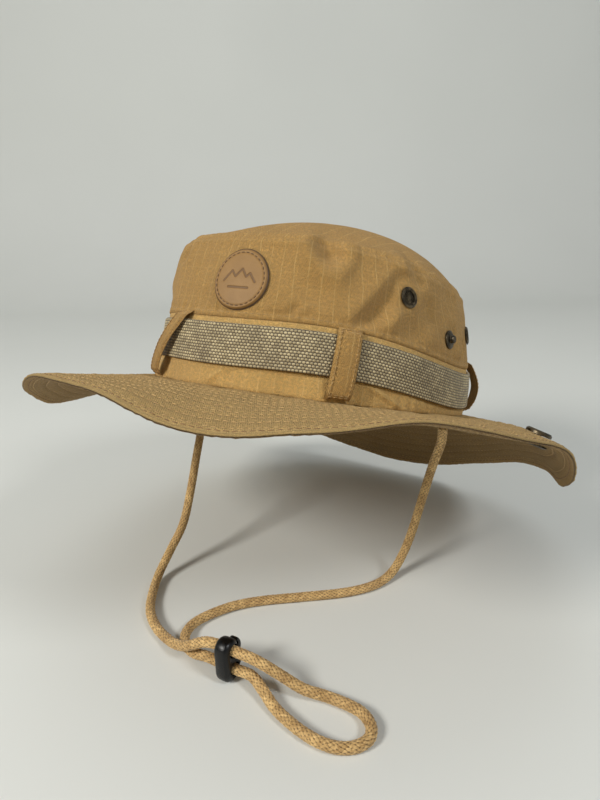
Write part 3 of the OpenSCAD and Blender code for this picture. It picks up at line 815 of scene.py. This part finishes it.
def brim_grid():
    """The brim's closed cross-sections, bottom then edge then top, with the cloth's flat places for them,
    the top and bottom rows, each row's distance from the edge, the normals and the look's marks."""
    a = np.arange(0, 360 + BRIM_STEP / 2, BRIM_STEP)[:, None]
    d = np.concatenate([np.arange(0, 7, 0.45), np.arange(7, BRIM_LEN - 0.2, 0.8), [BRIM_LEN + CLOTH_T]])
    t = (1 - d / BRIM_LEN)[None, :]
    mid = brim_point(a, t, BRIM_T / 2)
    outward = brim_point(a, t + 0.01, BRIM_T / 2) - brim_point(a, t - 0.01, BRIM_T / 2)
    backward = brim_point(a - 0.2, t, BRIM_T / 2) - brim_point(a + 0.2, t, BRIM_T / 2)
    normal = unit(np.cross(outward, backward))
    normal = normal * np.sign(normal[..., 2:3])

    # Puffed rows between the stitch rows, except at the snaps
    rows = np.clip((d - FIRST_ROW) / ROW_GAP, -0.5, STITCH_ROWS - 0.5)
    puff = np.abs(np.sin(np.pi * rows)) ** 0.6
    crinkle = 0.14 * ripple(a, d[None, :], 41, (120, 240), 0.6)
    crinkle = crinkle + 0.1 * ripple(a, d[None, :], 42, (50, 100), 0.9)
    swell = 0.42 * puff * smooth(d, 0, 6) + crinkle * (0.3 + 0.7 * puff) - 0.25 * lump(d - EDGE_ROW, 0.5)
    level = 1 - smooth(np.hypot(np.abs(mid[..., 0]) - SOCKET_X, mid[..., 1] - SOCKET_Y), 6.5, 11)
    half = BRIM_T / 2 - 0.3 + swell * (1 - level) + 0.25 * level
    sag = 0.35 * puff * smooth(d, 5, 9) * (1 - level)
    wander = 0.3 * (ripple(a, d[None, :], 43, (14, 34), 0.12) * (1 - level))[..., None]
    top = mid + normal * half[..., None] + normal * wander
    low = mid - normal * (half + sag)[..., None] + normal * wander

    # The edge, from the bottom round to the top, with a groove where the two cloths meet
    turns = np.radians(EDGE_TURNS)
    out = unit(outward[:, 0])
    bow = half[:, 0]
    edge = np.stack([
        mid[:, 0] + wander[:, 0] * normal[:, 0] + out * (0.9 * w * math.cos(x) * bow)[:, None]
        + normal[:, 0] * (math.sin(x) * bow)[:, None] for x, w in zip(turns, EDGE_SWINGS)], 1)
    loop = np.concatenate([low[:, ::-1], edge, top], 1)

    inset = BRIM_LEN - d
    flat = np.stack([np.sin(np.radians(a)) * (84 + inset), -np.cos(np.radians(a)) * (100 + inset)], -1)
    count = len(turns)
    ring = np.stack([flat[:, 0] * (1 + 0.01 * k) for k in range(count)], 1)
    cloth = np.concatenate([flat[:, ::-1], ring, flat, flat[:, -1:]], 1)

    def whole(under, middle, over):
        return np.broadcast_to(np.concatenate([under, middle, over]), loop.shape[:2])

    sunk, near = 1 - np.clip(puff * 1.15, 0, 1), lump(d, 3.0)
    # Marks for the look: painted shade in the sunk stitch rows and in the seam where the two cloths meet, and
    # a painted highlight round the rim.
    marks = {
        "sunk": whole(sunk[::-1], np.zeros(count), sunk),
        "rim": whole(near[::-1], np.ones(count), near),
        "seam_shade": whole(0 * d, [0, 0.5, 1, 1, 0.3, 0, 0], 0 * d),
    }
    return loop, cloth, top, low, d, normal, marks


def brim():
    """The brim in two halves, with one run of normals over both."""
    loop, cloth, top, low, d, normal, marks = brim_grid()
    points = worn(loop)
    whole = grid_object("brim_whole", points[:-1], cloth, BRIM_CLOTH)
    n, m = points.shape[:2]
    normals = np.empty((n - 1) * m * 3)
    whole.data.vertex_normals.foreach_get("vector", normals)
    normals = normals.reshape(n - 1, m, 3)
    normals = np.concatenate([normals, normals[:1]], 0)
    bpy.data.objects.remove(whole)
    half = (n - 1) // 2
    under = len(d) + 3  # faces in each section that belong to the cloth underneath

    def rows_at(distance):
        """The top and bottom rows at a distance from the edge, as stitch paths."""
        j = int(np.argmin(np.abs(d - distance)))
        return [(top[part, j], normal[part, j]), (low[part, j], -normal[part, j])]

    for side, name, part in ((1, "left", slice(0, half + 1)), (-1, "right", slice(half, n))):
        obj = grid_object(f"brim_cloth_{name}", points[part], cloth[part], BRIM_CLOTH, wrap_n=False)
        # The faces underneath take the darker cloth, painted shade for the underside.
        obj.data.materials.append(SHADED_UNDER_CLOTH)
        index = np.tile(np.arange(m), half)
        obj.data.polygons.foreach_set("material_index", (index < under).astype(np.int32))
        obj.data.normals_split_custom_set_from_vertices(normals[part].reshape(-1, 3).tolist())
        for mark, values in marks.items():
            attribute(obj, mark, values[part])
        nodes = [f"{name}_flap_{layer}" for layer in ("top_cloth", "interlining", "under_cloth")]
        if side > 0:
            nodes += ["brim_top_cloth", "brim_interlining", "brim_under_cloth"]
        bend(obj, side, "cloth", *nodes)
        paths = [path for k in range(STITCH_ROWS) for path in rows_at(FIRST_ROW + k * ROW_GAP)]
        rows = stitches(f"brim_stitches_{name}", paths, THREAD,
                        pitch=3.0, length=2.1, radius=0.24, lift=0.02)
        bend(rows, side, "cloth")
        rim = stitches(f"edge_stitches_{name}", rows_at(EDGE_ROW), EDGE_THREAD,
                       pitch=3.0, length=2.2, radius=0.26, lift=0.05)
        bend(rim, side, "cloth")


# ---- band, keepers and badge ----


def hat_band():
    angles, rows, a, u = shell_grid(0.3, 66)
    z = webbing_foot(a) + WEBBING_W * u
    along = angles * math.pi / 180 * 92  # the crown's mean radius there
    lane = np.floor(WEBBING_W * u / PICK_H)
    across = (WEBBING_W * u / PICK_H) % 1 - 0.5
    ahead = (along[:, None] / PICK_W + 0.5 * (lane % 2)) % 1 - 0.5
    pick = np.maximum(1 - (2 * ahead) ** 2, 0) ** 0.6 * np.maximum(1 - (2 * across) ** 2, 0) ** 0.6
    selvedge = smooth(u, 0, 0.04) * (1 - smooth(u, 0.96, 1))
    slack = 0.5 + 0.5 * ripple(a, z, 51, (6, 14), 0.08)
    twist = 0.9 * lump((a - 62) * ARC, 9) * (u - 0.5)
    outer = crown_point(a, z, WEBBING_T + 0.15 + 0.36 * pick * selvedge + 0.5 * slack + twist)
    few = slice(None, None, 13)  # the smooth back needs few rows
    inner = crown_point(a, z, 0.25 + 0.4 * slack + twist)[:, few]
    high = rows * WEBBING_W
    obj = closed_shell("hat_band_webbing", outer, inner, WEBBING, along, high, high[few])
    place(obj, "root", "webbing", "hat_band")


KEEPER_W, KEEPER_T = 12.0, 1.3
# Each keeper's height up the crown and its stand-off there
KEEPER_Z = np.array([1.5, 2.5, 4, 9, 16, 21, 26, 30.6, 31.8, 33])
KEEPER_BOW = np.array([0.2, 1.6, 2.8, 3.4, 3.4, 2.8, 2.1, 1.8, 0.5, 0])


def keeper(name, angle, lean, slack=0.0):
    """A folded strip of crown cloth over the webbing, sewn down at both ends."""
    half = math.degrees(KEEPER_W / 2 / np.linalg.norm(crown_point(angle, 16.0)))
    steps = np.linspace(0, 1, 60)
    knots = np.linspace(0, 1, len(KEEPER_Z))
    z, bow = np.interp(steps, knots, KEEPER_Z), np.interp(steps, knots, KEEPER_BOW)
    bow = np.convolve(np.pad(bow, 3, mode="edge"), np.ones(7) / 7, "valid")
    bow = bow + slack * np.sin(np.pi * steps) ** 2

    def middle(height):
        return angle + lean * (height / KEEPER_Z[-1] - 0.5)

    # Across the strip's outer face, then back over its inner face
    count = 25
    across = np.concatenate([np.linspace(-1, 1, count), np.linspace(1, -1, count)])
    edge = np.clip((1 - np.abs(across)) / 0.16, 0, 1) ** 0.5
    crest = 0.1 * np.cos(across * 2) - 0.22 * lump(np.abs(across) - 0.62, 0.12)
    outer = np.arange(2 * count) < count
    lift = np.where(outer, KEEPER_T * (0.5 + 0.5 * edge) + crest, KEEPER_T * (0.5 - 0.5 * edge))
    across, high = across[None, :], z[:, None]
    turn = middle(high) + across * half
    uneven = 0.12 * ripple(turn * 9, high, 261 + int(angle), (1, 3), 0.5)
    points = crown_point(turn, high, 0.2 + bow[:, None] + lift[None, :] + uneven)
    uv = np.stack(np.broadcast_arrays(across * KEEPER_W / 2, high), -1)
    uv = np.concatenate([uv, uv[:, :1]], 1)
    obj = grid_object(f"{name}_cloth", worn(points), uv, CROWN_CLOTH, wrap_n=False, caps=True)
    place(face_outwards(obj), "root", "cloth", name)

    # Stitches up both edges, and two rows across each end
    spots = [(middle(z) + x * half, z, bow) for x in (-0.72, 0.72)]
    for height, rise in ((2.6, 1.8), (3.4, 2.4), (31.2, 1.1), (32.2, 0.5)):
        a = middle(height) + np.linspace(-0.8, 0.8, 14) * half
        spots.append((a, height + 0 * a, rise))
    paths = [(crown_point(a, at, 0.2 + rise + KEEPER_T), crown_frame(a, at)[3]) for a, at, rise in spots]
    place(stitches(f"{name}_stitches", paths, THREAD, pitch=2.2, length=1.7, radius=0.2), "root", "cloth")


def badge_mark(x, y):
    """A plain line of three peaks over a short rule, pressed into the leather."""
    gap = np.full(np.shape(x), 99.0)
    line = [(-8, -1.2), (-4.4, 3.4), (-2.2, 0.8), (0.8, 4.4), (3.4, 0.9), (5, 2.6), (8, -1.2)]
    for (x0, y0), (x1, y1) in list(zip(line, line[1:])) + [((-5, -4), (5, -4))]:
        gap = np.minimum(gap, gap_to_line(x - x0, y - y0, x1 - x0, y1 - y0))
    return 1 - smooth(gap, 0.3, 0.65)


def badge():
    edge_w, seam_r = 1.6, BADGE_R - 1.9
    arc = 85 * math.pi / 180  # millimetres round the crown for each degree, at the badge
    flat_part = np.linspace(0.3, BADGE_R - edge_w, 58)
    round_part = BADGE_R - edge_w + edge_w * np.sin(np.linspace(0.15, 1, 8) * np.pi / 2)
    turn = np.radians(np.arange(0, 360, 1.5))[:, None]
    r = np.concatenate([flat_part, round_part])[None, :]
    x, y = r * np.sin(turn), r * np.cos(turn)
    mark = badge_mark(x, y)
    rim = 1 - smooth(r, BADGE_R - 1.3, BADGE_R)
    groove = lump(r - seam_r, 0.45)
    high = 0.3 + BADGE_T * (0.35 + 0.65 * rim) - 0.28 * mark - 0.22 * groove
    front = crown_point(BADGE_ANGLE + x / arc, BADGE_Z + y, high)
    back = crown_point(BADGE_ANGLE + x / arc, BADGE_Z + y, 0.15)
    flat = np.stack([x, y], -1)
    obj = disc_object("badge_leather", np.concatenate([front, back[:, ::-1]], 1),
                      np.concatenate([flat, flat[:, ::-1]], 1), LEATHER)
    edge = smooth(r, BADGE_R - 0.7, BADGE_R - 0.2) + 0 * x
    attribute(obj, "mark", np.concatenate([mark * 0.8, 0 * mark], 1))
    attribute(obj, "edge", np.concatenate([edge, np.ones_like(edge)], 1))
    place(obj, "root", "leather", "badge")
    b = np.radians(np.arange(0, 363, 3))
    path = crown_point(BADGE_ANGLE + seam_r * np.sin(b) / arc, BADGE_Z + seam_r * np.cos(b), 0.1 + BADGE_T)
    out = crown_frame(np.array(BADGE_ANGLE), BADGE_Z)[3]
    row = [(path, np.broadcast_to(out, path.shape))]
    rows = stitches("badge_stitches", row, BADGE_THREAD, pitch=2.3, length=1.5, radius=0.2)
    place(rows, "root", "leather")


# ---- metal ----


def vent_screens():
    """Woven wire in each vent."""
    paths = []
    reach, pitch = VENT_HOLE_R - 0.05, 0.6
    for spot, along, up, out in vent_places():
        for first, second in ((along, up), (up, along)):
            for k in range(-5, 6):
                far = math.sqrt(max(reach**2 - (k * pitch) ** 2, 0.05))
                x = np.linspace(-far, far, 24)[:, None]
                over = 0.16 * np.cos(np.pi * x / pitch + np.pi * (k + (first is up)))
                dome = 0.5 - 0.05 * (x * x + (k * pitch) ** 2)
                paths.append(worn(spot + first * x + second * k * pitch + out * (over + dome)))
    obj = tube("vent_wire_mesh", paths, 0.2 * MM, 6, BRONZE)
    place(obj, "root", "bronze", "vent_screens")


def finish_metal():
    """Bronze for the metal pieces that keep their CAD mesh."""
    for node in ("vent_eyelets", "vent_washers", "crown_snap_studs", "crown_snap_rivets",
                 "left_snap_socket", "left_snap_cap", "right_snap_socket", "right_snap_cap"):
        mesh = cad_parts[node].data
        mesh.materials.clear()
        mesh.materials.append(BRONZE)


# ---- cord ----

LIE, LOW, HIGH = FLOOR + CORD_R, LOCK_AT[2] - LOCK_PITCH / 2, LOCK_AT[2] + LOCK_PITCH / 2
LY = LOCK_AT[1]
# The cord's route, as in the CAD
ROUTE = np.array([
    (79, -3, -6), (77, 2, -17), (71, 7, -35), (66, 8, -55), (62, 5, -75), (59, 0, -88),
    (56, -8, LIE + 2.5), (53, -18, LIE), (48, -28, LIE), (38, -39, LIE), (20, -53, LIE), (3, -66, LIE),
    (-8, -77, LIE), (-15, -89, LIE), (-18, -99, LIE), (-16.5, -107.5, LIE), (-11, -113.5, LIE),
    (-3, -117, LIE + 1), (6, LY, LOW), (14, LY, LOW), (23, LY, LOW), (32, LY, LOW), (40, -121, LOW - 2),
    (48, -125, LIE), (56, -128, LIE), (65, -130.3, LIE), (74, -131.2, LIE), (82, -129.8, LIE),
    (88, -125.7, LIE), (90.7, -119.4, LIE), (88, -113, LIE), (80.5, -109, LIE), (67, -108.8, LIE),
    (56, -112, LIE + 2), (47, -114, LIE + 6), (39, -117, HIGH - 2), (32, LY, HIGH), (23, LY, HIGH),
    (14, LY, HIGH), (6, -119, HIGH - 1), (-2, -120, LIE + 8), (-10, -119, LIE + 4),
    (-20, -116, LIE + 1), (-33, -111, LIE), (-45, -103, LIE), (-55, -91, LIE), (-63, -77, LIE + 2),
    (-64, -65, LIE + 11), (-63, -53, -76), (-65, -42, -60), (-70, -28, -42), (-76, -12, -23),
    (-79, -3, -6),
]) * MM


def curve_through(points, step):
    """A smooth line through points, with a place about every step metres."""
    ends = np.concatenate([points[:1], points, points[-1:]])
    made = []
    for p, q, r, t in zip(ends, ends[1:], ends[2:], ends[3:]):
        count = max(int(np.linalg.norm(r - q) / step), 1)
        made.append(spline(p, q, r, t, (np.arange(count) / count)[:, None]))
    return np.concatenate(made + [points[-1:]])


def braid(turn, along):
    """A plain braid's strands, 1 on their crests and 0 in the gaps, and a shade for each.

    turn runs from 0 to 1 round the cord, and along is in millimetres.
    """
    wander = 0.12 * np.sin(along * 1.7) + 0.1 * np.sin(along * 0.61 + 1)
    right, left = (STRANDS * turn + way * along / STRAND_PITCH + wander for way in (1, -1))
    over = (np.floor(right) + np.floor(left)) % 2 == 0
    across, lengthwise = np.where(over, right, left) % 1, np.where(over, left, right) % 1
    strand = np.sin(np.pi * across) ** 0.7 * (0.3 + 0.7 * np.sin(np.pi * lengthwise) ** 0.6)
    # The usual sine hash of two whole numbers, which scatters them between 0 and 1
    strand_no, row_no = np.floor(right) % STRANDS, np.floor(along / STRAND_PITCH)
    shade = np.sin(strand_no * 12.9898 + row_no * 78.233) * 43758.5453 % 1
    return strand, shade


def chin_cord():
    path = curve_through(ROUTE, 0.32 * MM)
    ahead = unit(np.gradient(path, axis=0))
    spoke = np.array([1.0, 0, 0])
    spokes = []
    for h in ahead:
        spoke = unit(spoke - (spoke @ h) * h)
        spokes.append(spoke)
    spokes = np.array(spokes)
    along = run_length(path)
    sides = 48
    turns = ring_turns(sides)
    strand, tint = braid(turns[None, :] / (2 * np.pi), along[:, None] / MM)
    radius = (CORD_R - BRAID_DEPTH + BRAID_DEPTH * strand) * MM
    points = path[:, None] + rings_across(spokes, np.cross(ahead, spokes), turns) * radius[..., None]
    round_mm = np.arange(sides + 1) / sides * 2 * np.pi * CORD_R
    uv = np.stack(np.meshgrid(along / MM, round_mm, indexing="ij"), -1)
    obj = grid_object("chin_cord_braid", points, uv, CORD, wrap_n=False, caps=True)
    attribute(obj, "strand", strand)
    attribute(obj, "tint", tint)
    place(face_outwards(obj), "root", "cord", "chin_cord")
    lock = cord_lock()


def squared(v):
    """Cosines and sines that draw a rounded square in place of a circle."""
    return np.sign(v) * np.abs(v) ** 0.45


def tab(side):
    """The folded cloth tab under the sweatband that holds one end of the cord."""
    steps = np.linspace(0, 1, 18)
    y = (-8 + 12 * steps)[:, None]
    t = np.linspace(0, 2 * np.pi, 28, endpoint=False)[None, :]
    pinch = np.minimum(1 + 0.12 * np.cos((steps - 0.5) * 2 * np.pi)[:, None], 1)
    close = np.minimum(1, np.minimum(steps, 1 - steps) * 12 + 0.75)[:, None]
    x = side * (TAB_X + 2.9 * squared(np.cos(t)) * pinch * close)
    z = TAB_Z + 3.4 * squared(np.sin(t)) * close
    points = np.stack(np.broadcast_arrays(x, y, z), -1)
    uv = np.stack(np.broadcast_arrays(np.linspace(0, 16, 29)[None, :], y), -1)
    name = "left" if side > 0 else "right"
    obj = grid_object(f"cord_tab_{name}", worn(points), uv, INNER_CLOTH, wrap_n=False, caps=True)
    place(face_outwards(obj), "root", "cloth", f"cord_anchor_{name}")


# ---- cord lock ----


def lock_outline():
    """The lock's flat oval as (height, depth) pairs in millimetres."""
    radius, middle, half_height = 5.25, -1.25, 11.0
    t = np.linspace(-np.pi / 2, np.pi / 2, 14)
    top = np.stack([half_height - radius + radius * np.cos(t), middle + radius * np.sin(t)], -1)
    bottom = top[::-1] * [-1, 1]
    return np.concatenate([top, bottom])


def rounded_slab(name, outline, thick, soft, material):
    """An outline (height, depth) with full rounded edges, thick across the cord."""
    centre = outline.mean(0)
    span = np.abs(outline - centre).max(0)
    layers = []
    for s in np.radians(np.linspace(-90, 90, 13)):
        inset = soft * (1 - math.cos(s))
        x = (thick / 2 - soft) * np.sign(s) + soft * math.sin(s)
        shrunk = centre + (outline - centre) * (1 - inset / span)
        layers.append(np.stack([np.full(len(outline), x), shrunk[:, 1], shrunk[:, 0]], -1))
    points = (LOCK_AT + np.array(layers)) * MM
    uv = np.zeros((len(layers), len(outline) + 1, 2))
    return face_outwards(grid_object(name, points, uv, material, wrap_n=False, caps=True))


def flared_hole(x_reach, radius, flare, z, y=0.0):
    """A solid that cuts a hole along X with rounded lips."""
    sides = 40
    half = np.array([x_reach - flare, x_reach - flare * 0.3, x_reach + 0.01, x_reach + 2])
    swell = np.array([0, 0.45, 1.0, 1.2])
    xs = np.concatenate([-half[::-1], half])[:, None]
    rs = (radius + flare * np.concatenate([swell[::-1], swell]))[:, None]
    t = np.linspace(0, 2 * np.pi, sides, endpoint=False)
    points = np.stack(np.broadcast_arrays(xs, y + rs * np.cos(t), z + rs * np.sin(t)), -1)
    uv = np.zeros((len(xs), sides + 1, 2))
    hole = grid_object("hole_cutter", (LOCK_AT + points) * MM, uv, None, wrap_n=False, caps=True)
    return face_outwards(hole)


def cut(obj, *cutters):
    """Takes the cutters out of obj and removes them from the scene."""
    for c in cutters:
        m = obj.modifiers.new("cut", "BOOLEAN")
        m.operation, m.object, m.solver = "DIFFERENCE", c, "EXACT"
    bpy.context.view_layer.update()
    made = bpy.data.meshes.new_from_object(obj.evaluated_get(bpy.context.evaluated_depsgraph_get()))
    obj.modifiers.clear()
    obj.data = made
    for c in cutters:
        bpy.data.objects.remove(c)
    made.polygons.foreach_set("use_smooth", [True] * len(made.polygons))
    made.set_sharp_from_angle(angle=math.radians(38))


def block(low, high):
    x, y, z = zip(low, high)
    points = np.array([(a, b, c) for a in x for b in y for c in z], float)
    faces = [(0, 1, 3, 2), (4, 6, 7, 5), (0, 4, 5, 1), (2, 3, 7, 6), (0, 2, 6, 4), (1, 5, 7, 3)]
    return face_outwards(mesh_object("block_cutter", (LOCK_AT + points) * MM, faces))


def cord_lock():
    """The lock's shell, button and spring; all three are returned."""
    strands = (-LOCK_PITCH / 2, LOCK_PITCH / 2)
    body = rounded_slab("cord_lock_shell", lock_outline(), 8.0, 2.6, PLASTIC)
    holes = [flared_hole(4.0, LOCK_HOLE_R, 0.7, z) for z in strands]
    cut(body, *holes, block((-2.3, -5.8, -8.3), (2.3, 9, 8.3)))
    place(body, "cord_lock", "black_plastic", "cord_lock_body")

    # The button's outline has two round lobes, one over each strand
    foot = -3.4
    outline = [(8.05, foot)]
    for z in np.linspace(8.0, -8.0, 49):
        lobe = 4.3 + 3.0 * np.sqrt(np.maximum(1 - ((abs(z) - 4.05) / 4.08) ** 2, 0))
        outline.append((z, min(lobe, 7.3)))
    outline = np.array(outline + [(-8.05, foot)])
    plunger = rounded_slab("cord_lock_button", outline, 4.3, 1.2, PLASTIC)
    slots = [flared_hole(4.0, LOCK_HOLE_R, 0.4, z, y) for z in strands for y in (0.0, 2.2)]
    cut(plunger, *slots, block((-1.75, -5, -1.75), (1.75, 2.7, 1.75)))
    place(plunger, "lock_plunger", "black_plastic", "cord_lock_plunger")

    t = np.linspace(0, 1, 150)
    turn = t * 2 * np.pi * 6.5
    coil = np.stack([1.25 * np.cos(turn), -5.6 + 8.0 * t, 1.25 * np.sin(turn)], -1)
    spring = tube("cord_lock_coil", [(LOCK_AT + coil) * MM], 0.22 * MM, 7, STEEL)
    place(spring, "cord_lock", "spring_steel", "cord_lock_spring")
    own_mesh(spring)
    return [body, plunger, spring]


# ---- seams round the crown ----


def crown_stitches():
    a = np.arange(0, 361, 0.7)
    z = BAND_H + wave(a) + 2.4
    rows = [(crown_point(a, z, crown_relief(a, z) + 0.3), crown_frame(a, z)[3])]
    tip = tip_point(a, np.full_like(a, 1 - TIP_ROW / TIP_REACH))
    rows.append((tip, np.broadcast_to([0, 0, 1.0], tip.shape)))
    place(stitches("crown_stitches", rows, THREAD, pitch=3.0, length=2.2, radius=0.2), "root", "cloth")


# ---- stage ----


def floor():
    """A pale floor that sweeps up into a backdrop behind the hat."""
    front, start, height, half_width, bend_r = -1.6, 0.95, 2.6, 2.4, 0.45
    turn_back = Matrix.Rotation(math.radians(31), 3, "Z")
    profile = [(front, 0)]
    for t in np.linspace(0, math.pi / 2, 16):
        profile.append((start + bend_r * math.sin(t), bend_r - bend_r * math.cos(t)))
    profile.append((start + bend_r, height))
    points = []
    for y, z in profile:
        for x in (-half_width, half_width):
            points.append(tuple(turn_back @ Vector((x, y, z)) + Vector((0, 0, FLOOR * MM))))
    faces = [(2 * i, 2 * i + 1, 2 * i + 3, 2 * i + 2) for i in range(len(profile) - 1)]
    mesh_object("floor", points, faces, None, floor_look())


def lamp(name, at, look_at, size, power, colour):
    data = bpy.data.lights.new(name, "AREA")
    data.shape, data.size, data.energy, data.color = "DISK", size, power, colour
    obj = bpy.data.objects.new(name, data)
    obj.location = at
    obj.rotation_mode = "QUATERNION"
    obj.rotation_quaternion = (Vector(look_at) - Vector(at)).to_track_quat("-Z", "Y")
    bpy.context.scene.collection.objects.link(obj)


def lights():
    middle = (0, 0, -0.02)
    lamp("key", (-0.55, -1.45, 1.0), middle, 0.5, 24, (1.0, 0.97, 0.92))
    lamp("right", (1.25, -0.25, 1.05), middle, 0.4, 9.5, (0.96, 0.98, 1.0))
    lamp("overhead", (-0.3, 0.2, 1.7), middle, 1.2, 3.5, (0.97, 0.98, 1.0))
    world = bpy.data.worlds.new("studio")
    world.use_nodes = True
    sky = world.node_tree.nodes["Background"].inputs
    sky["Color"].default_value = (0.88, 0.9, 0.91, 1)
    sky["Strength"].default_value = 0.3
    bpy.context.scene.world = world


def camera():
    data = bpy.data.cameras.new("camera")
    data.lens, data.sensor_width = 27, 36
    obj = bpy.data.objects.new("camera", data)
    obj.location = CAMERA_AT
    obj.rotation_mode = "QUATERNION"
    roll = Quaternion((0, 0, 1), CAMERA_ROLL)
    obj.rotation_quaternion = CAMERA_LOOK.to_track_quat("-Z", "Y") @ roll
    bpy.context.scene.collection.objects.link(obj)
    bpy.context.scene.camera = obj


bpy.context.scene.view_settings.view_transform = "Standard"
camera()
lights()
floor()
chin_cord()
for side in (-1, 1):
    tab(side)
crown_side()
crown_tip()
crown_lower_band()
crown_stitches()
sweatband()
brim()
hat_band()
keeper("keeper_front_left", 39.5, 2)
keeper("keeper_front_right", -21.5, 15, 1.4)
keeper("keeper_rear_left", 124, 0, 6.0)
keeper("keeper_rear_right", -124, 0, 1.0)
badge()
vent_screens()
finish_metal()
